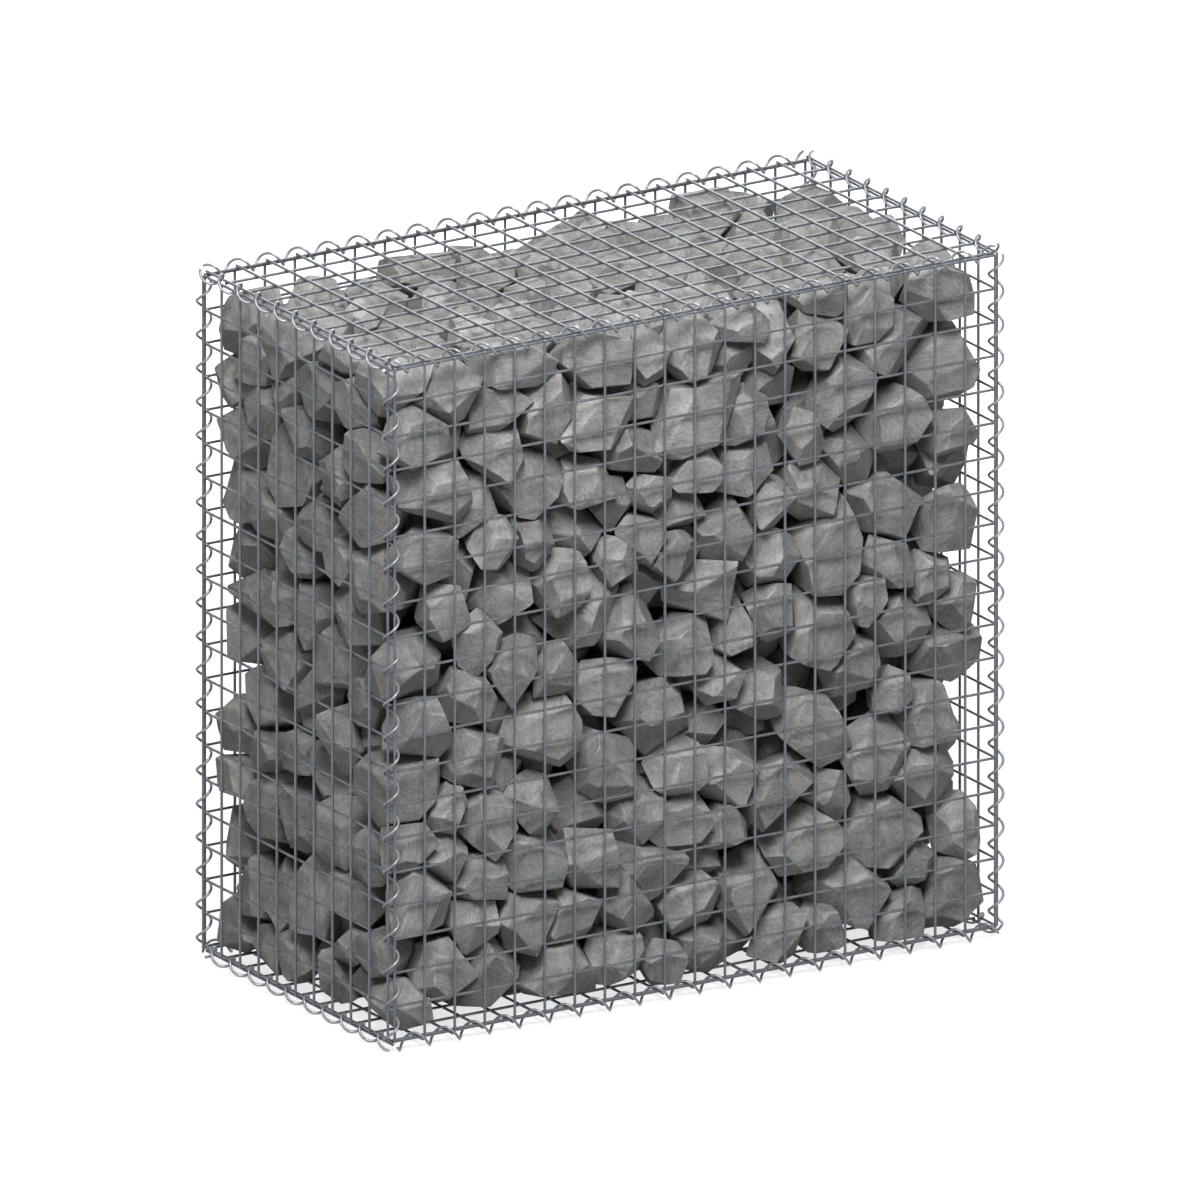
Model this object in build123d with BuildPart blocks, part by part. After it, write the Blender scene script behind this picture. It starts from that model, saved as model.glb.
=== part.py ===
from build123d import *
import math
import os

# Welded mesh, lengths in millimetres
mesh_pitch = 50.0
cells_long = 20
cells_deep = 10
cells_high = 20
wire_diameter = 4.0
wire_sides = 6
wire_overhang = 3.0
edge_step_share = 0.8
fit_gap = 0.3

# Spirals that lace the panels together along the twelve edges
spiral_wire = 3.5
spiral_sides = 4
chords_per_turn = 8

# Share of a cell at which each spiral is furthest inside the basket, as it was screwed in
inside_shares = {
    "bottom_front": 0.58,
    "bottom_back": 0.49,
    "bottom_left": 0.62,
    "bottom_right": 0.65,
    "top_front": 0.58,
    "top_back": 0.49,
    "top_left": 0.50,
    "top_right": 0.57,
    "front_left": 0.73,
    "back_left": 0.73,
    "front_right": 0.40,
    "back_right": 0.40,
}

# Stone fill
fill_gap = 3.0
fill_corner_radius = 40.0

# Wire section: the polygon with the area of the round wire, a flat side towards the crossing layer
wire_tip = wire_diameter / 2 * math.sqrt(math.tau / (wire_sides * math.sin(math.tau / wire_sides)))
spiral_tip = spiral_wire / 2 * math.sqrt(math.tau / (spiral_sides * math.sin(math.tau / spiral_sides)))
layer_step = 2 * wire_tip * math.cos(math.pi / wire_sides)
panel_depth = layer_step * 3 / 2

# A panel's edge wire stands this far inside the plane of the outer wires of the panel next to it
edge_inset = layer_step + edge_step_share * wire_diameter
row_stub = edge_inset - panel_depth - fit_gap

# The spiral just encloses the pair of upright edge wires, the widest pair
wire_reach = edge_inset / math.sqrt(2)
spiral_radius = (wire_reach + wire_tip + fit_gap + spiral_tip) / math.cos(math.pi / chords_per_turn)

# Planes of the outer wires: the basket stands on the lowest turns of its bottom spirals
length = cells_long * mesh_pitch
depth = cells_deep * mesh_pitch
height = cells_high * mesh_pitch
half_x = length / 2 + edge_inset
half_y = depth / 2 + edge_inset


def edge_centre(layer_a, layer_b):
    """Depths of a spiral's axis inside the outer planes of its two panels."""
    wire_a = Vector(layer_a, edge_inset)
    wire_b = Vector(edge_inset, layer_b)
    chord = wire_b - wire_a
    shift = math.sqrt(max(wire_reach**2 - (chord.length / 2) ** 2, 0))
    outward = Vector(chord.Y, -chord.X).normalized()
    return (wire_a + wire_b) / 2 + outward * shift


long_edge = edge_centre(layer_step, layer_step)
deep_edge = edge_centre(layer_step, 0)
upright_edge = edge_centre(0, 0)
spiral_reach = spiral_radius + spiral_tip
base_z = spiral_reach - min(long_edge.Y, deep_edge.Y)
lid_z = base_z + height + 2 * edge_inset
middle_z = (base_z + lid_z) / 2


def welded_panel(face, columns, rows, row_overhang):
    """Columns along the face's y lie outside, and rows along its x are welded to their inner side."""
    column_length = rows * mesh_pitch + 2 * wire_overhang
    row_length = columns * mesh_pitch + 2 * row_overhang
    column_start = face.origin - face.y_dir * (column_length / 2)
    row_start = face.origin - face.z_dir * layer_step - face.x_dir * (row_length / 2)
    with BuildPart() as panel:
        with BuildSketch(Plane(column_start, x_dir=face.x_dir, z_dir=face.y_dir)):
            with GridLocations(mesh_pitch, mesh_pitch, columns + 1, 1):
                RegularPolygon(wire_tip, wire_sides)
        extrude(amount=column_length)
        with BuildSketch(Plane(row_start, x_dir=face.y_dir, z_dir=face.x_dir)):
            with GridLocations(mesh_pitch, mesh_pitch, rows + 1, 1):
                RegularPolygon(wire_tip, wire_sides)
        extrude(amount=row_length)
    return panel


def lacing_spiral(start, axis, inward, cells, inside_share):
    """Right-handed spiral, one turn a cell, that is furthest inside at a share of each cell."""
    turns = [step / chords_per_turn for step in range(cells * chords_per_turn + 1)]
    arm = inward.normalized() * spiral_radius
    centre_line = Axis((0, 0, 0), axis)
    points = []
    for turn in turns:
        radial = arm.rotate(centre_line, 360 * (turn - inside_share))
        points.append(start + axis * (turn * mesh_pitch) + radial)
    with BuildPart() as spiral:
        with BuildLine() as path:
            Polyline(*points)
        with BuildSketch(Plane(path.line @ 0, z_dir=path.line % 0)):
            RegularPolygon(spiral_tip, spiral_sides)
        sweep(path=path.line, transition=Transition.RIGHT)
    return spiral


# The six welded panels
x_axis = Vector(1, 0, 0)
y_axis = Vector(0, 1, 0)
z_axis = Vector(0, 0, 1)

front_panel = welded_panel(
    Plane((0, -half_y, middle_z), x_dir=x_axis, z_dir=-y_axis), cells_long, cells_high, row_stub
)
back_panel = welded_panel(
    Plane((0, half_y, middle_z), x_dir=-x_axis, z_dir=y_axis), cells_long, cells_high, row_stub
)
left_panel = welded_panel(
    Plane((-half_x, 0, middle_z), x_dir=-y_axis, z_dir=-x_axis), cells_deep, cells_high, wire_overhang
)
right_panel = welded_panel(
    Plane((half_x, 0, middle_z), x_dir=y_axis, z_dir=x_axis), cells_deep, cells_high, wire_overhang
)
base_panel = welded_panel(
    Plane((0, 0, base_z), x_dir=x_axis, z_dir=-z_axis), cells_long, cells_deep, row_stub
)
lid_panel = welded_panel(
    Plane((0, 0, lid_z), x_dir=x_axis, z_dir=z_axis), cells_long, cells_deep, row_stub
)
pieces = {
    "front_panel": front_panel,
    "back_panel": back_panel,
    "left_panel": left_panel,
    "right_panel": right_panel,
    "base_panel": base_panel,
    "lid_panel": lid_panel,
}

# The twelve spirals, each named after the two panels that it laces
fronts = (("front", -1), ("back", 1))
sides = (("left", -1), ("right", 1))
levels = (("bottom", base_z, 1), ("top", lid_z, -1))


def lace(edge, start, axis, inward, cells):
    pieces[f"{edge}_spiral"] = lacing_spiral(start, axis, inward, cells, inside_shares[edge])


for level, plane_z, up in levels:
    for front, out in fronts:
        start = Vector(-length / 2, out * (half_y - long_edge.X), plane_z + up * long_edge.Y)
        lace(f"{level}_{front}", start, x_axis, Vector(0, -out, up), cells_long)
    for side, out in sides:
        start = Vector(out * (half_x - deep_edge.X), -depth / 2, plane_z + up * deep_edge.Y)
        lace(f"{level}_{side}", start, y_axis, Vector(-out, 0, up), cells_deep)

for side, out_x in sides:
    for front, out_y in fronts:
        start = Vector(
            out_x * (half_x - upright_edge.X), out_y * (half_y - upright_edge.Y), base_z + edge_inset
        )
        lace(f"{front}_{side}", start, z_axis, Vector(-out_x, -out_y, 0), cells_high)

# The stone fill stands on the base panel, just clear of the turns of the spirals
fill_floor = base_z + panel_depth + fit_gap
fill_top = lid_z - max(long_edge.Y, deep_edge.Y) - spiral_reach - fill_gap
fill_length = 2 * (half_x - upright_edge.X - spiral_reach - fill_gap)
fill_depth = 2 * (half_y - upright_edge.Y - spiral_reach - fill_gap)
with BuildPart() as stone_fill:
    with BuildSketch(Plane.XY.offset(fill_floor)):
        RectangleRounded(fill_length, fill_depth, fill_corner_radius)
    extrude(amount=fill_top - fill_floor)
pieces["stone_fill"] = stone_fill

os.makedirs("parts", exist_ok=True)
for name, piece in pieces.items():
    piece.part.label = name
    export_step(piece.part, f"parts/{name}.step")
    print(name, len(piece.part.solids()), round(piece.part.volume))
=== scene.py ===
import math
import random
import time
import bpy
from mathutils import Euler, Matrix, Vector
from mathutils.bvhtree import BVHTree


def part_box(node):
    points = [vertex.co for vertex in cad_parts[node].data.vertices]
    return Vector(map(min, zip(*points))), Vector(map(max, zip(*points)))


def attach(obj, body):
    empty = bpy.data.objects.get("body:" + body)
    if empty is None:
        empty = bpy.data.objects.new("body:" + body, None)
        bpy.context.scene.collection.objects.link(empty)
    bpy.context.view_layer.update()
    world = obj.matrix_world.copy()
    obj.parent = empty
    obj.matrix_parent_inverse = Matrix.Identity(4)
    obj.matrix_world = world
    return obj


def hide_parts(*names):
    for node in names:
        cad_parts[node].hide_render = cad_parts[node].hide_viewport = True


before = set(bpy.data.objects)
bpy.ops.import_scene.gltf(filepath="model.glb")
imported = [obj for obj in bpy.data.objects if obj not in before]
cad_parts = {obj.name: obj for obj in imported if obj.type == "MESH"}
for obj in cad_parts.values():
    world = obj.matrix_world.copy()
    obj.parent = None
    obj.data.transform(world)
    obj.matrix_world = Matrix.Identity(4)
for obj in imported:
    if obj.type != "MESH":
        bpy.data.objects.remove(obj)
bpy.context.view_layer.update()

scene = bpy.context.scene
began = time.time()
axisOf = {"x": Vector((1, 0, 0)), "y": Vector((0, 1, 0)), "z": Vector((0, 0, 1))}


def stage(words):
    print(f"stage: {words}, {time.time() - began:.0f} s")


stage("camera and light")
photoView = {
    "azimuth": -31.6,       # degrees round the basket, from the front
    "elevation": 18.1,
    "width": 1.702,         # metres across the picture, seen without perspective
    "aim": (0, 0, 0.5184),
    "distance": 6.0,
}


def addCamera(v):
    a, e = math.radians(v["azimuth"]), math.radians(v["elevation"])
    back = Vector((math.sin(a) * math.cos(e), -math.cos(a) * math.cos(e), math.sin(e)))
    bpy.ops.object.camera_add(location=Vector(v["aim"]) + back * v["distance"])
    cam = bpy.context.object
    cam.name = "photoCamera"
    cam.rotation_euler = (-back).to_track_quat("-Z", "Y").to_euler()
    cam.data.type = "ORTHO"
    cam.data.ortho_scale = v["width"]
    scene.camera = cam


addCamera(photoView)
scene.view_settings.view_transform = "Standard"

studio = {
    "sky": 0.17,            # even white light from all round
    "aim": (0, 0, 0.5),
    # place, size and power
    "lamps": {
        "keyLamp": ((-1.65, -2.45, 4.2), 2.0, 290),
        "topLamp": ((1.85, 0.0, 4.2), 1.1, 34),
        "backLamp": ((2.3, 2.9, 2.3), 2.6, 120),
    },
    "floorSize": 30, "floorDrop": 0.0005,
    "floorColor": (0.28, 0.28, 0.28, 1), "floorRough": 0.9,
    # the paper stays white to the eye far from the lamps
    "glowNear": 0.76, "glowFar": 0.95, "glowReach": (0.8, 2.6),
}


def addLamp(name, place, size, power, aim):
    bpy.ops.object.light_add(type="AREA", location=place)
    lamp = bpy.context.object
    lamp.name = name
    lamp.data.energy = power
    lamp.data.size = size
    lamp.rotation_euler = (Vector(aim) - Vector(place)).to_track_quat("-Z", "Y").to_euler()


def seenRay(nodes, links):
    path = nodes.new("ShaderNodeLightPath")
    seen = path.outputs["Is Camera Ray"]
    for kind in ("Is Glossy Ray", "Is Transmission Ray"):
        either = nodes.new("ShaderNodeMath")
        either.operation = "MAXIMUM"
        links.new(seen, either.inputs[0])
        links.new(path.outputs[kind], either.inputs[1])
        seen = either.outputs[0]
    return seen


def addStudio(s):
    world = bpy.data.worlds.new("whiteStudio")
    scene.world = world
    world.use_nodes = True
    nodes, links = world.node_tree.nodes, world.node_tree.links
    background = nodes["Background"]
    background.inputs["Color"].default_value = (1, 1, 1, 1)
    # white to the eye and in the wire, softer as light
    strength = nodes.new("ShaderNodeMapRange")
    strength.inputs["To Min"].default_value = s["sky"]
    strength.inputs["To Max"].default_value = 1.0
    links.new(seenRay(nodes, links), strength.inputs["Value"])
    links.new(strength.outputs["Result"], background.inputs["Strength"])
    for name, (place, size, power) in s["lamps"].items():
        addLamp(name, place, size, power, s["aim"])

    bpy.ops.mesh.primitive_plane_add(size=s["floorSize"], location=(0, 0, -s["floorDrop"]))
    floor = bpy.context.object
    floor.name = "studioFloor"
    mat = bpy.data.materials.new("palePaper")
    mat.use_nodes = True
    nodes, links = mat.node_tree.nodes, mat.node_tree.links
    shader = nodes["Principled BSDF"]
    shader.inputs["Base Color"].default_value = s["floorColor"]
    shader.inputs["Roughness"].default_value = s["floorRough"]
    shader.inputs["Emission Color"].default_value = (1, 1, 1, 1)
    spot = nodes.new("ShaderNodeTexCoord")
    away = nodes.new("ShaderNodeVectorMath")
    away.operation = "LENGTH"
    links.new(spot.outputs["Object"], away.inputs[0])
    glow = nodes.new("ShaderNodeMapRange")
    glow.interpolation_type = "SMOOTHSTEP"
    glow.inputs["From Min"].default_value = s["glowReach"][0]
    glow.inputs["From Max"].default_value = s["glowReach"][1]
    glow.inputs["To Min"].default_value = s["glowNear"]
    glow.inputs["To Max"].default_value = s["glowFar"]
    links.new(away.outputs["Value"], glow.inputs["Value"])
    lit = nodes.new("ShaderNodeMath")
    lit.operation = "MULTIPLY"
    links.new(seenRay(nodes, links), lit.inputs[0])
    links.new(glow.outputs["Result"], lit.inputs[1])
    links.new(lit.outputs[0], shader.inputs["Emission Strength"])
    floor.data.materials.append(mat)


addStudio(studio)


# small helpers for work by hand
def soloSelect(*objs):
    bpy.ops.object.select_all(action="DESELECT")
    for o in objs:
        o.select_set(True)
    bpy.context.view_layer.objects.active = objs[0]


def newObject(name):
    obj = bpy.context.object
    obj.name = name
    obj.data.name = name
    return obj


def putPlaceInMesh(obj):
    soloSelect(obj)
    bpy.ops.object.transform_apply(location=True, rotation=True, scale=True)


def repeat(obj, count, step):
    soloSelect(obj)
    mod = obj.modifiers.new("row", "ARRAY")
    mod.count = count
    mod.use_relative_offset = False
    mod.use_constant_offset = True
    mod.constant_offset_displace = step
    bpy.ops.object.modifier_apply(modifier=mod.name)


def joinAs(name, objs):
    soloSelect(*objs)
    bpy.ops.object.join()
    return newObject(name)


def standFor(obj, node, material):
    obj.data.materials.clear()
    obj.data.materials.append(material)
    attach(obj, "root")
    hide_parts(node)


stage("materials")


def nodeAdder(mat):
    nodes, links = mat.node_tree.nodes, mat.node_tree.links

    def add(kind, **inputs):
        node = nodes.new("ShaderNode" + kind)
        for key, value in inputs.items():
            key = key.replace("_", " ")
            if hasattr(value, "node"):
                links.new(value, node.inputs[key])
            else:
                node.inputs[key].default_value = value
        return node

    return add, links, nodes["Principled BSDF"]


zinc = {
    "mesh_wire": {
        "dark": (0.106, 0.12, 0.136, 1), "light": (0.186, 0.204, 0.224, 1), "rough": (0.31, 0.44),
    },
    # the spiral wire's tones, paler than the mesh wire's, are painted highlight; the mottling within them
    # is the zinc's own
    "spiral_wire": {
        "dark": (0.166, 0.178, 0.192, 1), "light": (0.304, 0.318, 0.334, 1), "rough": (0.28, 0.42),
    },
    "spangles": 420.0, "clouds": 38.0,         # to the metre
    "spangleShare": 0.35, "darkEnd": 0.3, "lightEnd": 0.75,
    "metal": 0.5, "bump": 0.15, "bumpDepth": 0.0004,
}


def galvanised(name, slot, z):
    tone = z[slot]
    mat = bpy.data.materials.new(name)
    mat.use_nodes = True
    add, links, shader = nodeAdder(mat)
    spot = add("TexCoord").outputs["Object"]
    spangle = add("TexVoronoi", Vector=spot, Scale=z["spangles"]).outputs["Color"]
    cloud = add("TexNoise", Vector=spot, Scale=z["clouds"], Detail=5.0).outputs["Fac"]
    mixed = add("MixRGB", Fac=z["spangleShare"], Color1=cloud, Color2=spangle).outputs["Color"]
    ramp = add("ValToRGB", Fac=mixed)
    ramp.color_ramp.elements[0].color = tone["dark"]
    ramp.color_ramp.elements[0].position = z["darkEnd"]
    ramp.color_ramp.elements[1].color = tone["light"]
    ramp.color_ramp.elements[1].position = z["lightEnd"]
    links.new(ramp.outputs["Color"], shader.inputs["Base Color"])
    rough = add("MapRange", Value=cloud, To_Min=tone["rough"][0], To_Max=tone["rough"][1])
    links.new(rough.outputs["Result"], shader.inputs["Roughness"])
    shader.inputs["Metallic"].default_value = z["metal"]
    bump = add("Bump", Height=cloud, Strength=z["bump"], Distance=z["bumpDepth"])
    links.new(bump.outputs["Normal"], shader.inputs["Normal"])
    return mat


meshZinc = galvanised("galvanisedMesh", "mesh_wire", zinc)
# the spiral's zinc is a paler copy of the mesh's zinc, as painted highlight
spiralZincPaintedHighlight = galvanised("galvanisedSpiralPaintedHighlight", "spiral_wire", zinc)

stoneFinish = {
    "dark": (0.165, 0.163, 0.157, 1), "darkEnd": 0.36,
    "mid": (0.285, 0.282, 0.273, 1), "midPoint": 0.5,
    "light": (0.41, 0.406, 0.393, 1), "lightEnd": 0.64,
    "bruise": (0.42, 0.416, 0.40, 1), "bruiseFrom": 0.42, "bruiseTo": 0.62, "bruiseMost": 0.7,
    "rough": 0.9, "gloss": 0.3,
    "streaks": 48.0, "grains": 210.0, "clouds": 22.0,            # to the metre
    "grainShare": 0.4, "cloudShare": 0.4,
    "streakTurn": (0.5, 0.3, 0.9), "streakThin": (1.0, 5.0, 5.0),
    # strength and depth
    "hump": (0.3, 0.004), "pit": (0.6, 0.0012), "groove": (0.7, 0.0016),
}


def brokenStone(f):
    mat = bpy.data.materials.new("brokenStone")
    mat.use_nodes = True
    add, links, shader = nodeAdder(mat)

    def ownValue(name, output="Fac"):
        node = add("Attribute")
        node.attribute_name = name
        return node.outputs[output]

    def reckon(operation, first, second):
        node = add("Math")
        node.operation = operation
        links.new(first, node.inputs[0])
        links.new(second, node.inputs[1])
        return node.outputs[0]

    # streaks of the split face, grain and broad clouds, in each stone's own frame, so that no two match
    spot = ownValue("stoneFrame", "Vector")
    along = add("Mapping", Vector=spot, Rotation=f["streakTurn"], Scale=f["streakThin"]).outputs["Vector"]
    streak = add("TexNoise", Vector=along, Scale=f["streaks"], Detail=5.0, Roughness=0.6, Distortion=0.4)
    streak = streak.outputs["Fac"]
    grain = add("TexNoise", Vector=spot, Scale=f["grains"], Detail=3.0, Roughness=0.65).outputs["Fac"]
    cloud = add("TexNoise", Vector=spot, Scale=f["clouds"], Detail=4.0, Roughness=0.55).outputs["Fac"]
    mixed = add("MixRGB", Fac=f["grainShare"], Color1=streak, Color2=grain).outputs["Color"]
    mixed = add("MixRGB", Fac=f["cloudShare"], Color1=mixed, Color2=cloud).outputs["Color"]
    ramp = add("ValToRGB", Fac=mixed)
    ramp.color_ramp.elements[0].color = f["dark"]
    ramp.color_ramp.elements[0].position = f["darkEnd"]
    ramp.color_ramp.elements[1].color = f["light"]
    ramp.color_ramp.elements[1].position = f["lightEnd"]
    middle = ramp.color_ramp.elements.new(f["midPoint"])
    middle.color = f["mid"]
    # paler bruises along the worn edges
    patchy = add(
        "MapRange", Value=cloud, From_Min=f["bruiseFrom"], From_Max=f["bruiseTo"], To_Max=f["bruiseMost"]
    ).outputs["Result"]
    bruise = reckon("MULTIPLY", ownValue("stoneEdge"), patchy)
    edged = add("MixRGB", Fac=bruise, Color1=ramp.outputs["Color"], Color2=f["bruise"])
    # the stone's own tone, and that of each broken face
    tone = reckon("ADD", ownValue("stoneTint"), ownValue("stoneFacet"))
    shade = add("HueSaturation", Value=tone, Color=edged.outputs["Color"])
    links.new(shade.outputs["Color"], shader.inputs["Base Color"])
    shader.inputs["Roughness"].default_value = f["rough"]
    shader.inputs["Specular IOR Level"].default_value = f["gloss"]
    hump = add("Bump", Height=cloud, Strength=f["hump"][0], Distance=f["hump"][1])
    pit = add("Bump", Height=grain, Strength=f["pit"][0], Distance=f["pit"][1])
    groove = add("Bump", Height=streak, Strength=f["groove"][0], Distance=f["groove"][1])
    links.new(hump.outputs["Normal"], pit.inputs["Normal"])
    links.new(pit.outputs["Normal"], groove.inputs["Normal"])
    links.new(groove.outputs["Normal"], shader.inputs["Normal"])
    return mat


greyStone = brokenStone(stoneFinish)

stage("welded panels")
weldedMesh = {
    "pitch": 0.05, "wire": 0.004, "sides": 12, "smooth": 40,
    "overhang": 0.003,                         # free ends past the edge wires
    "stub": 0.001,                             # ends of the long rows, cut almost flush
    "endBevel": 0.12,                          # as a share of the wire
    "weldRadius": 0.0021,
    # outward side, direction of the outer wires, direction of the inner wires, cells along each
    "panels": {
        "front_panel": ((0, -1, 0), "z", "x", 20, 20),
        "back_panel": ((0, 1, 0), "z", "x", 20, 20),
        "left_panel": ((-1, 0, 0), "z", "y", 20, 10),
        "right_panel": ((1, 0, 0), "z", "y", 20, 10),
        "base_panel": ((0, 0, -1), "y", "x", 10, 20),
        "lid_panel": ((0, 0, 1), "y", "x", 10, 20),
    },
}
turnTo = {"x": (0, math.pi / 2, 0), "y": (math.pi / 2, 0, 0), "z": (0, 0, 0)}


def wireRow(m, run, length, first, across, count):
    bpy.ops.object.select_all(action="DESELECT")
    bpy.ops.mesh.primitive_cylinder_add(
        vertices=m["sides"], radius=m["wire"] / 2, depth=length, location=first, rotation=turnTo[run]
    )
    wire = newObject("wire")
    putPlaceInMesh(wire)
    # round off the cut ends
    bpy.ops.object.mode_set(mode="EDIT")
    bpy.ops.mesh.select_all(action="DESELECT")
    bpy.ops.mesh.select_mode(type="FACE")
    bpy.ops.object.mode_set(mode="OBJECT")
    for face in wire.data.polygons:
        face.select = len(face.vertices) > 4
    bpy.ops.object.mode_set(mode="EDIT")
    bpy.ops.mesh.region_to_loop()
    bpy.ops.mesh.bevel(offset=m["wire"] * m["endBevel"], segments=1)
    bpy.ops.object.mode_set(mode="OBJECT")
    repeat(wire, count, axisOf[across] * m["pitch"])
    return wire


def weldedPanel(name, m):
    outward, outerRun, innerRun, outerCells, innerCells = m["panels"][name]
    low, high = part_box(name)
    out = Vector(outward)
    middle = (low + high) / 2
    thick = abs((high - low).dot(out))
    outerMiddle = middle + out * (thick / 4)
    innerMiddle = middle - out * (thick / 4)
    outerLength = outerCells * m["pitch"] + 2 * m["overhang"]
    innerEnd = m["stub"] if innerRun == "x" else m["overhang"]
    innerLength = innerCells * m["pitch"] + 2 * innerEnd
    outerFirst = outerMiddle - axisOf[innerRun] * (innerCells * m["pitch"] / 2)
    innerFirst = innerMiddle - axisOf[outerRun] * (outerCells * m["pitch"] / 2)
    columns = wireRow(m, outerRun, outerLength, outerFirst, innerRun, innerCells + 1)
    rows = wireRow(m, innerRun, innerLength, innerFirst, outerRun, outerCells + 1)
    # a bead of weld where the wires cross
    corner = middle - axisOf[innerRun] * (innerCells * m["pitch"] / 2)
    corner -= axisOf[outerRun] * (outerCells * m["pitch"] / 2)
    bpy.ops.object.select_all(action="DESELECT")
    bpy.ops.mesh.primitive_ico_sphere_add(subdivisions=1, radius=m["weldRadius"], location=corner)
    weld = newObject("weld")
    putPlaceInMesh(weld)
    repeat(weld, innerCells + 1, axisOf[innerRun] * m["pitch"])
    repeat(weld, outerCells + 1, axisOf[outerRun] * m["pitch"])
    panel = joinAs(name + "_wires", [columns, rows, weld])
    bpy.ops.object.shade_smooth_by_angle(angle=math.radians(m["smooth"]))
    standFor(panel, name, meshZinc)


for panelName in weldedMesh["panels"]:
    weldedPanel(panelName, weldedMesh)

stage("lacing spirals")
lacing = {
    "pitch": 0.05, "wire": 0.0040, "radius": 0.0104, "steps": 20, "sides": 8, "smooth": 60,
    # run, cells, way into the basket, share of a cell where a turn is furthest inside
    "spirals": {
        "bottom_front_spiral": ("x", 20, (0, 1, 1), 0.58),
        "bottom_back_spiral": ("x", 20, (0, -1, 1), 0.49),
        "bottom_left_spiral": ("y", 10, (1, 0, 1), 0.62),
        "bottom_right_spiral": ("y", 10, (-1, 0, 1), 0.65),
        "top_front_spiral": ("x", 20, (0, 1, -1), 0.58),
        "top_back_spiral": ("x", 20, (0, -1, -1), 0.49),
        "top_left_spiral": ("y", 10, (1, 0, -1), 0.50),
        "top_right_spiral": ("y", 10, (-1, 0, -1), 0.57),
        "front_left_spiral": ("z", 20, (1, 1, 0), 0.73),
        "back_left_spiral": ("z", 20, (1, -1, 0), 0.73),
        "front_right_spiral": ("z", 20, (-1, 1, 0), 0.40),
        "back_right_spiral": ("z", 20, (-1, -1, 0), 0.40),
    },
}


def lacingSpiral(name, s):
    run, cells, inward, share = s["spirals"][name]
    low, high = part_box(name)
    along = axisOf[run]
    start = (low + high) / 2 - along * (cells * s["pitch"] / 2)
    lead = math.atan2(s["pitch"], math.tau * s["radius"])
    bpy.ops.object.select_all(action="DESELECT")
    bpy.ops.mesh.primitive_circle_add(
        vertices=s["sides"], radius=s["wire"] / 2, location=(s["radius"], 0, 0),
        rotation=(math.pi / 2 + lead, 0, 0),
    )
    coil = newObject(name + "_coil")
    putPlaceInMesh(coil)
    mod = coil.modifiers.new("turns", "SCREW")
    mod.axis = "Z"
    mod.angle = math.tau
    mod.screw_offset = s["pitch"]
    mod.iterations = cells
    mod.steps = s["steps"]
    mod.render_steps = s["steps"]
    bpy.ops.object.modifier_apply(modifier=mod.name)
    # close the two cut ends
    bpy.ops.object.mode_set(mode="EDIT")
    bpy.ops.mesh.select_mode(type="EDGE")
    bpy.ops.mesh.select_all(action="DESELECT")
    bpy.ops.mesh.select_non_manifold()
    bpy.ops.mesh.fill_holes(sides=s["sides"])
    bpy.ops.mesh.select_all(action="SELECT")
    bpy.ops.mesh.normals_make_consistent(inside=False)
    bpy.ops.object.mode_set(mode="OBJECT")
    turn = Matrix.Rotation(-math.tau * share, 3, along)
    first = (turn @ Vector(inward)).normalized()
    second = along.cross(first)
    basis = Matrix((first, second, along)).transposed().to_4x4()
    coil.matrix_world = Matrix.Translation(start) @ basis
    putPlaceInMesh(coil)
    bpy.ops.object.shade_smooth_by_angle(angle=math.radians(s["smooth"]))
    standFor(coil, name, spiralZincPaintedHighlight)


for spiralName in lacing["spirals"]:
    lacingSpiral(spiralName, lacing)

stage("stone shapes")
stones = {
    "kinds": 16, "seed": 11,
    # each shape is split off a block by flat cuts, at a radius of about one, and scaled later
    "block": 2.3, "cuts": (12, 16), "cutDepth": (0.64, 0.90), "jitter": 0.38,
    "sliver": 0.08, "sameFace": 6,
    "flatter": (0.80, 1.08),                   # how much a stone is squeezed along each side
    "subdivide": 1, "worn": 0.018, "wornAngle": 12, "wornArea": 0.011,
    "relief": 0.03, "chipSize": 0.4, "chipDetail": 3, "smooth": 13,
    "tint": (0.84, 1.14), "facetTone": 0.07,
    "apart": 9,                                # how far a stone's pattern is shifted at most
    "count": 985, "radius": (0.042, 0.068),
    "sizes": 1.35,                             # above one, there are more small stones than large
}
rng = random.Random(stones["seed"])


def spreadDirections(count, jitter):
    # evenly all round, each a little off
    golden = math.pi * (3 - math.sqrt(5))
    start = rng.uniform(0, math.tau)
    ways = []
    for k in range(count):
        z = 1 - 2 * (k + 0.5) / count
        r = math.sqrt(1 - z * z)
        way = Vector((r * math.cos(golden * k + start), r * math.sin(golden * k + start), z))
        nudge = Vector((rng.uniform(-1, 1), rng.uniform(-1, 1), rng.uniform(-1, 1)))
        ways.append((way + nudge * jitter).normalized())
    return ways


def chipStone(number, s):
    bpy.ops.object.select_all(action="DESELECT")
    bpy.ops.mesh.primitive_cube_add(size=s["block"])
    rough = newObject(f"stoneRough{number}")
    bpy.ops.object.mode_set(mode="EDIT")
    for way in spreadDirections(rng.randint(*s["cuts"]), s["jitter"]):
        bpy.ops.mesh.select_all(action="SELECT")
        bpy.ops.mesh.bisect(
            plane_co=way * rng.uniform(*s["cutDepth"]), plane_no=way, use_fill=True, clear_outer=True
        )
    bpy.ops.mesh.select_all(action="SELECT")
    bpy.ops.mesh.remove_doubles(threshold=s["sliver"])
    bpy.ops.mesh.select_all(action="SELECT")
    bpy.ops.mesh.convex_hull()
    bpy.ops.mesh.dissolve_limited(angle_limit=math.radians(s["sameFace"]))
    bpy.ops.mesh.select_all(action="SELECT")
    bpy.ops.transform.resize(value=[rng.uniform(*s["flatter"]) for _ in range(3)])
    bpy.ops.object.mode_set(mode="OBJECT")
    return rough


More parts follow.
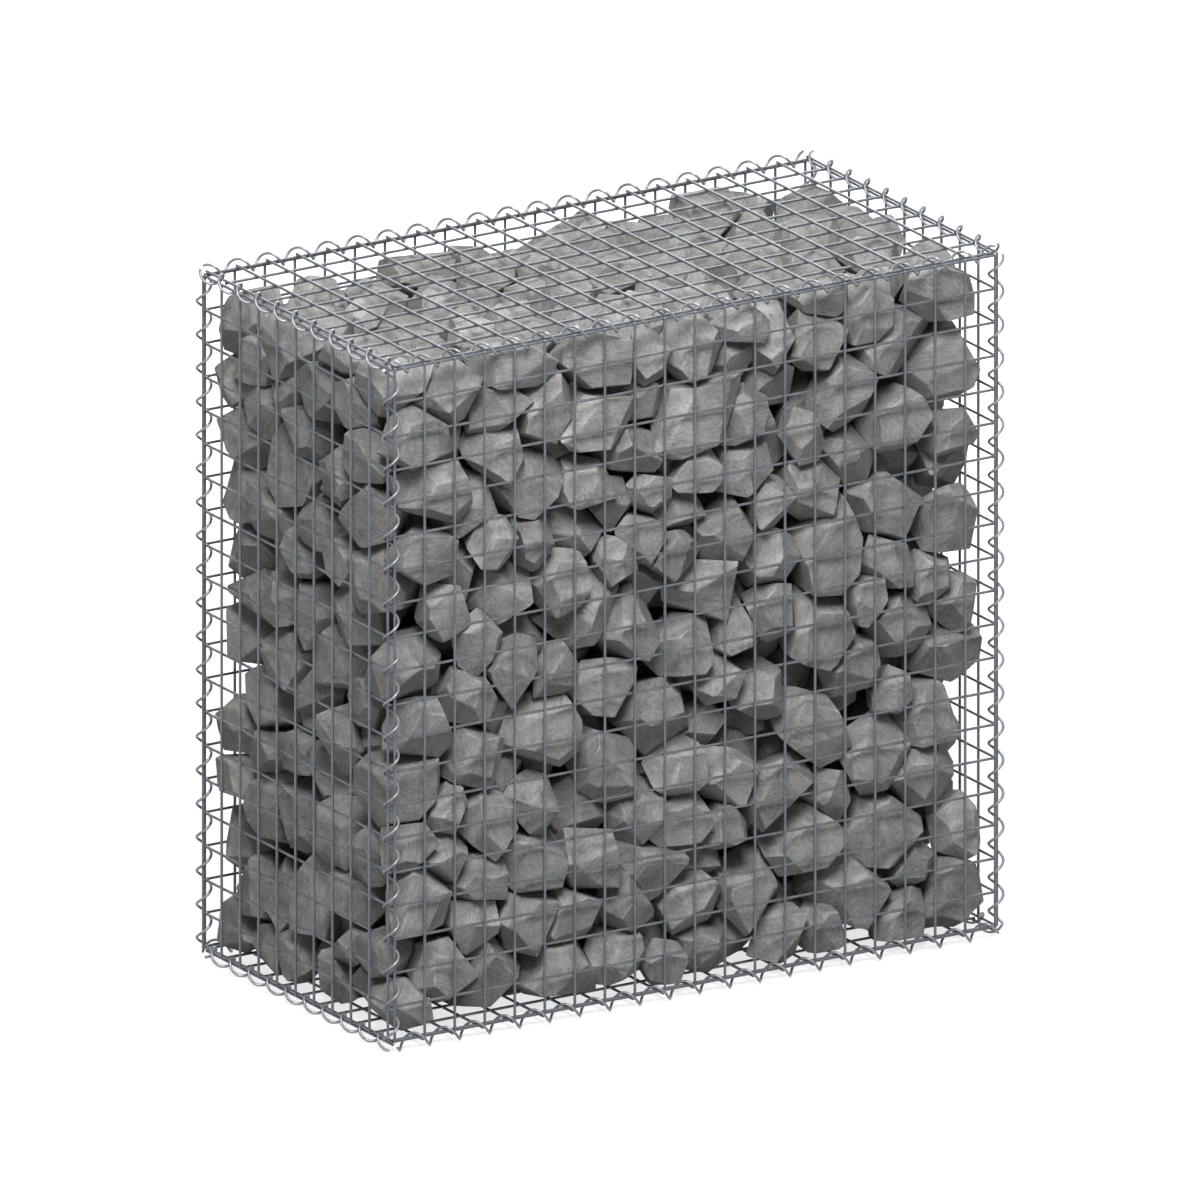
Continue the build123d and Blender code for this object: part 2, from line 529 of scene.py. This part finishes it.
def dressStone(number, rough, s):
    soloSelect(rough)
    bpy.ops.object.duplicate()
    fine = newObject(f"stoneFine{number}")
    bpy.ops.object.mode_set(mode="EDIT")
    bpy.ops.mesh.select_all(action="SELECT")
    bpy.ops.mesh.quads_convert_to_tris()
    bpy.ops.mesh.subdivide(number_cuts=s["subdivide"])
    bpy.ops.object.mode_set(mode="OBJECT")
    bevel = fine.modifiers.new("worn", "BEVEL")
    bevel.width = s["worn"]
    bevel.segments = 1
    bevel.limit_method = "ANGLE"
    bevel.angle_limit = math.radians(s["wornAngle"])
    bpy.ops.object.modifier_apply(modifier=bevel.name)
    edge = fine.data.attributes.new("stoneEdge", "FLOAT", "FACE")
    edge.data.foreach_set("value", [
        0.0 if face.area > s["wornArea"] else 1.0 for face in fine.data.polygons
    ])
    # every broken face has its own tone
    facets = [(face.normal.copy(), rng.uniform(-1, 1) * s["facetTone"]) for face in rough.data.polygons]
    tone = fine.data.attributes.new("stoneFacet", "FLOAT", "FACE")
    tone.data.foreach_set("value", [
        max(facets, key=lambda f: f[0].dot(face.normal))[1] for face in fine.data.polygons
    ])
    cloud = bpy.data.textures.new(f"chips{number}", "CLOUDS")
    cloud.noise_scale = s["chipSize"]
    cloud.noise_depth = s["chipDetail"]
    relief = fine.modifiers.new("relief", "DISPLACE")
    relief.texture = cloud
    relief.texture_coords = "LOCAL"
    relief.strength = s["relief"]
    relief.mid_level = 0.5
    bpy.ops.object.modifier_apply(modifier=relief.name)
    bpy.ops.object.shade_smooth_by_angle(angle=math.radians(s["smooth"]))
    return fine


def triangles(obj):
    return sum(len(face.vertices) - 2 for face in obj.data.polygons)


roughStones = [chipStone(k, stones) for k in range(stones["kinds"])]
fineStones = [dressStone(k, o, stones) for k, o in enumerate(roughStones)]
print("faces of the stone shapes:", [len(o.data.polygons) for o in roughStones])
print("triangles once dressed:", [triangles(o) for o in fineStones])

stage("filling the basket")
pile = {
    "wall": 0.013,           # stones stay this far inside the outer wires
    "roof": 0.003,           # and this far under the lid
    # the stones are let go in loose layers
    "columns": 8, "rows": 4, "layerStep": 0.118, "margin": 1.1, "nudge": 0.01, "lift": 0.02,
    "bigger": 10,            # settled at ten times the size, where contacts are exact
    "frames": 54, "easeFrames": 16, "easePull": 0.1, "substeps": 7, "iterations": 10,
    "gravity": 9.81, "friction": 0.28, "wallFriction": 0.05, "slowing": 0.1,
    "weight": 11000,         # kilograms of a stone one metre in radius
    "boardThick": 0.4, "boardWide": 3, "boardTall": 8.0,
    # topping up until the heap meets the lid
    "rounds": 3, "topFrames": 16, "topDepth": 0.22, "topCell": 0.02, "topRadius": (0.026, 0.062),
    "topStep": 0.003, "topHeight": 1.6, "topFoot": 0.8, "topApart": 0.9,
    "feeler": 0.2,           # the heap is felt out from this far above the lid
    "within": 0.999,         # and just inside the walls
    # stones picked to fit under the lid
    "flattest": 0.6, "tallest": 1.5, "reach": 0.06, "uneven": 0.016, "cover": 0.006,
}
hold = {
    "floor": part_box("base_panel")[1].z,
    "roof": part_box("lid_panel")[0].z - pile["roof"],
    "halfX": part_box("right_panel")[1].x - pile["wall"],
    "halfY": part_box("back_panel")[1].y - pile["wall"],
}


def shutters(h, p, closed):
    # plain boards that hold the stones while they settle
    big, thick, wide, tall = p["bigger"], p["boardThick"], p["boardWide"], p["boardTall"]
    sides = [
        ((0, 0, h["floor"] - thick / 2), (wide, wide, thick)),
        ((h["halfX"] + thick / 2, 0, tall / 2), (thick, wide, tall)),
        ((-h["halfX"] - thick / 2, 0, tall / 2), (thick, wide, tall)),
        ((0, h["halfY"] + thick / 2, tall / 2), (wide, thick, tall)),
        ((0, -h["halfY"] - thick / 2, tall / 2), (wide, thick, tall)),
    ]
    if closed:
        sides.append(((0, 0, h["roof"] + thick / 2), (wide, wide, thick)))
    boards = []
    for place, size in sides:
        bpy.ops.object.select_all(action="DESELECT")
        bpy.ops.mesh.primitive_cube_add(size=1, location=Vector(place) * big)
        board = newObject("shutter")
        board.scale = Vector(size) * big
        boards.append(board)
    return boards


# a stone in the heap is a row: kind, radius, place, and the form that turns and scales its shape
def looseStone(row, big):
    kind, _, place, form = row
    stone = bpy.data.objects.new("loose", roughStones[kind].data.copy())
    scene.collection.objects.link(stone)
    stone.data.transform((form * big).to_4x4())
    stone.location = place * big
    return stone


def settle(heap, still, p, frames, closed, pull):
    # pull is the share of gravity
    big = p["bigger"]
    boards = shutters(hold, p, closed)
    bed = [looseStone(row, big) for row in still]          # stones that already lie firm
    loose = [looseStone(row, big) for row in heap]
    scene.gravity = (0, 0, -p["gravity"] * big * pull)
    bpy.ops.rigidbody.world_add()
    world = scene.rigidbody_world
    world.use_split_impulse = pull < 1                     # pressed stones ease apart without a jump
    world.substeps_per_frame = p["substeps"]
    world.solver_iterations = p["iterations"]
    world.point_cache.frame_end = frames
    soloSelect(*boards, *bed)
    bpy.ops.rigidbody.objects_add(type="PASSIVE")
    for fixed in boards + bed:
        fixed.rigid_body.collision_shape = "CONVEX_HULL" if fixed in bed else "BOX"
        fixed.rigid_body.friction = p["friction"] if fixed in bed else p["wallFriction"]
        fixed.rigid_body.restitution = 0
    soloSelect(*loose)
    bpy.ops.rigidbody.objects_add(type="ACTIVE")
    for stone, row in zip(loose, heap):
        body = stone.rigid_body
        body.collision_shape = "CONVEX_HULL"
        body.mass = p["weight"] * row[1] ** 3
        body.friction = p["friction"]
        body.restitution = 0
        body.linear_damping = p["slowing"]
        body.angular_damping = p["slowing"]
    for number in range(1, frames + 1):
        scene.frame_set(number)
    settled = []
    for stone, (kind, radius, _, form) in zip(loose, heap):
        place, turn, _ = stone.matrix_world.decompose()
        settled.append((kind, radius, place / big, turn.to_matrix() @ form))
    scene.frame_set(1)
    bpy.ops.rigidbody.world_remove()
    scene.gravity = (0, 0, -p["gravity"])
    for obj in loose + bed + boards:
        mesh = obj.data
        bpy.data.objects.remove(obj)
        bpy.data.meshes.remove(mesh)
    return settled


def corners(row):
    return [row[2] + row[3] @ v.co for v in roughStones[row[0]].data.vertices]


def heapTop(heap):
    points, faces = [], []
    for row in heap:
        first = len(points)
        points += corners(row)
        faces += [[first + k for k in face.vertices] for face in roughStones[row[0]].data.polygons]
    return BVHTree.FromPolygons(points, faces)


def feelDown(surface, x, y, p):
    return surface.ray_cast(Vector((x, y, hold["roof"] + p["feeler"])), -axisOf["z"])[0]


def heightTo(row, top):
    # a flatter or taller stone on the same foot
    kind, radius, place, form = row
    heights = [c.z for c in corners(row)]
    low = min(heights)
    share = (top - low) / (max(heights) - low)
    lift = Vector((place.x, place.y, low + (place.z - low) * share))
    return share, (kind, radius, lift, Matrix.Diagonal((1, 1, share)) @ form)


def underLid(heap, p):
    # what stands above the lid is made flatter, or taken off
    kept = []
    for row in heap:
        if max(c.z for c in corners(row)) > hold["roof"]:
            share, row = heightTo(row, hold["roof"])
            if share < p["flattest"]:
                continue
        kept.append(row)
    return kept


def upToLid(heap, p):
    # stones near the lid with nothing on them are made taller
    surface = heapTop(heap)
    kept = []
    for row in heap:
        points = corners(row)
        high = max(c.z for c in points)
        low = min(c.z for c in points)
        if 0 < hold["roof"] - high < p["reach"]:
            upper = [c for c in points if c.z > (low + high) / 2]
            covered = False
            for c in upper:
                hit = feelDown(surface, c.x, c.y, p)
                covered = covered or (hit is not None and hit.z > c.z + p["cover"])
            share, taller = heightTo(row, hold["roof"] - rng.uniform(0, p["uneven"]))
            if not covered and 1 < share < p["tallest"]:
                row = taller
        kept.append(row)
    return kept


def firstLoad(p, s):
    heap = []
    edge = s["radius"][1] * p["margin"]
    stepX = 2 * (hold["halfX"] - edge) / (p["columns"] - 1)
    stepY = 2 * (hold["halfY"] - edge) / (p["rows"] - 1)
    for k in range(s["count"]):
        layer, spot = divmod(k, p["columns"] * p["rows"])
        column, row = divmod(spot, p["rows"])
        kind = rng.randrange(s["kinds"])
        radius = s["radius"][0] + (s["radius"][1] - s["radius"][0]) * rng.random() ** s["sizes"]
        place = Vector((
            -hold["halfX"] + edge + column * stepX + rng.uniform(-p["nudge"], p["nudge"]),
            -hold["halfY"] + edge + row * stepY + rng.uniform(-p["nudge"], p["nudge"]),
            hold["floor"] + edge + layer * p["layerStep"] + rng.uniform(0, p["lift"]),
        ))
        turn = Euler([rng.uniform(0, math.tau) for _ in range(3)]).to_matrix()
        heap.append((kind, radius, place, turn * radius))
    return heap


def flatUp(kind):
    # the broadest face lies under the lid
    face = max(roughStones[kind].data.polygons, key=lambda f: f.area)
    lay = face.normal.rotation_difference(axisOf["z"])
    spin = Matrix.Rotation(rng.uniform(0, math.tau), 3, "Z")
    return spin @ lay.to_matrix()


def topUp(heap, p, s):
    # room under the lid on a fine grid, felt out from above
    cell = p["topCell"]
    across = int(2 * hold["halfX"] / cell) + 1
    deep = int(2 * hold["halfY"] / cell) + 1
    surface = heapTop(heap)
    room = {}
    for i in range(across):
        for j in range(deep):
            x = -hold["halfX"] + i * 2 * hold["halfX"] / (across - 1)
            y = -hold["halfY"] + j * 2 * hold["halfY"] / (deep - 1)
            hit = feelDown(surface, x * p["within"], y * p["within"], p)
            room[x, y] = hold["roof"] - hit.z if hit else p["topDepth"]
    spots = []
    for x, y in room:
        radius = p["topRadius"][1]
        while radius >= p["topRadius"][0]:
            foot = radius * p["topFoot"]
            inside = max(abs(x) - hold["halfX"], abs(y) - hold["halfY"]) < -foot
            near = [gap for (u, v), gap in room.items() if math.hypot(u - x, v - y) < foot]
            if inside and min(near) > radius * p["topHeight"]:
                spots.append((radius, sum(near) / len(near), x, y))
                break
            radius -= p["topStep"]
    # the largest stones first, none on another
    added = []
    for radius, _, x, y in sorted(spots, reverse=True):
        if any(math.hypot(x - o[2].x, y - o[2].y) < (radius + o[1]) * p["topApart"] for o in added):
            continue
        kind = rng.randrange(s["kinds"])
        place = Vector((x, y, hold["roof"] - radius * p["topHeight"] / 2))
        added.append((kind, radius, place, flatUp(kind) * radius))
    return added


def tellFurthest(heap):
    points = [c for row in heap for c in corners(row)]
    past = (
        hold["floor"] - min(c.z for c in points), max(c.z for c in points) - hold["roof"],
        max(abs(c.x) for c in points) - hold["halfX"], max(abs(c.y) for c in points) - hold["halfY"],
    )
    print("metres past floor, lid, ends and sides:", [f"{v:.4f}" for v in past])


def fillBasket(p, s):
    heap = settle(firstLoad(p, s), [], p, p["frames"], False, 1)
    stage("first load settled")
    heap = settle(underLid(heap, p), [], p, p["easeFrames"], False, p["easePull"])
    heap = underLid(heap, p)
    stage(f"pressed stones eased apart, {len(heap)} under the lid")
    for _ in range(p["rounds"]):
        firm = [row for row in heap if row[2].z <= hold["roof"] - p["topDepth"]]
        bed = [row for row in firm if row[2].z > hold["roof"] - 2 * p["topDepth"]]
        top = [row for row in heap if row[2].z > hold["roof"] - p["topDepth"]]
        added = topUp(top, p, s)
        heap = firm + underLid(settle(top + added, bed, p, p["topFrames"], True, 1), p)
        stage(f"topped up with {len(added)}, now {len(heap)}")
    heap = upToLid(heap, p)
    tellFurthest(heap)
    return heap


settledStones = fillBasket(pile, stones)

stage("stones in the basket")
courses = {"count": 6}


def layStones(c, s):
    settledStones.sort(key=lambda row: row[2].z)
    perCourse = math.ceil(len(settledStones) / c["count"])
    for course in range(c["count"]):
        objs = []
        for kind, radius, place, form in settledStones[course * perCourse:(course + 1) * perCourse]:
            stone = bpy.data.objects.new("stone", fineStones[kind].data.copy())
            scene.collection.objects.link(stone)
            mesh = stone.data
            own = mesh.attributes.new("stoneFrame", "FLOAT_VECTOR", "POINT")
            shift = Vector([rng.uniform(-s["apart"], s["apart"]) for _ in range(3)])
            for v in mesh.vertices:
                own.data[v.index].vector = v.co * radius + shift
            tint = mesh.attributes.new("stoneTint", "FLOAT", "POINT")
            value = rng.uniform(*s["tint"])
            for v in mesh.vertices:
                tint.data[v.index].value = value
            mesh.transform(Matrix.Translation(place) @ form.to_4x4())
            objs.append(stone)
        laid = joinAs(f"stones_course_{course + 1}", objs)
        standFor(laid, "stone_fill", greyStone)
        print(laid.name, len(objs), "stones,", triangles(laid), "triangles")


layStones(courses, stones)
for obj in roughStones + fineStones:
    spare = obj.data
    bpy.data.objects.remove(obj)
    bpy.data.meshes.remove(spare)

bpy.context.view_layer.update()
stage("done")
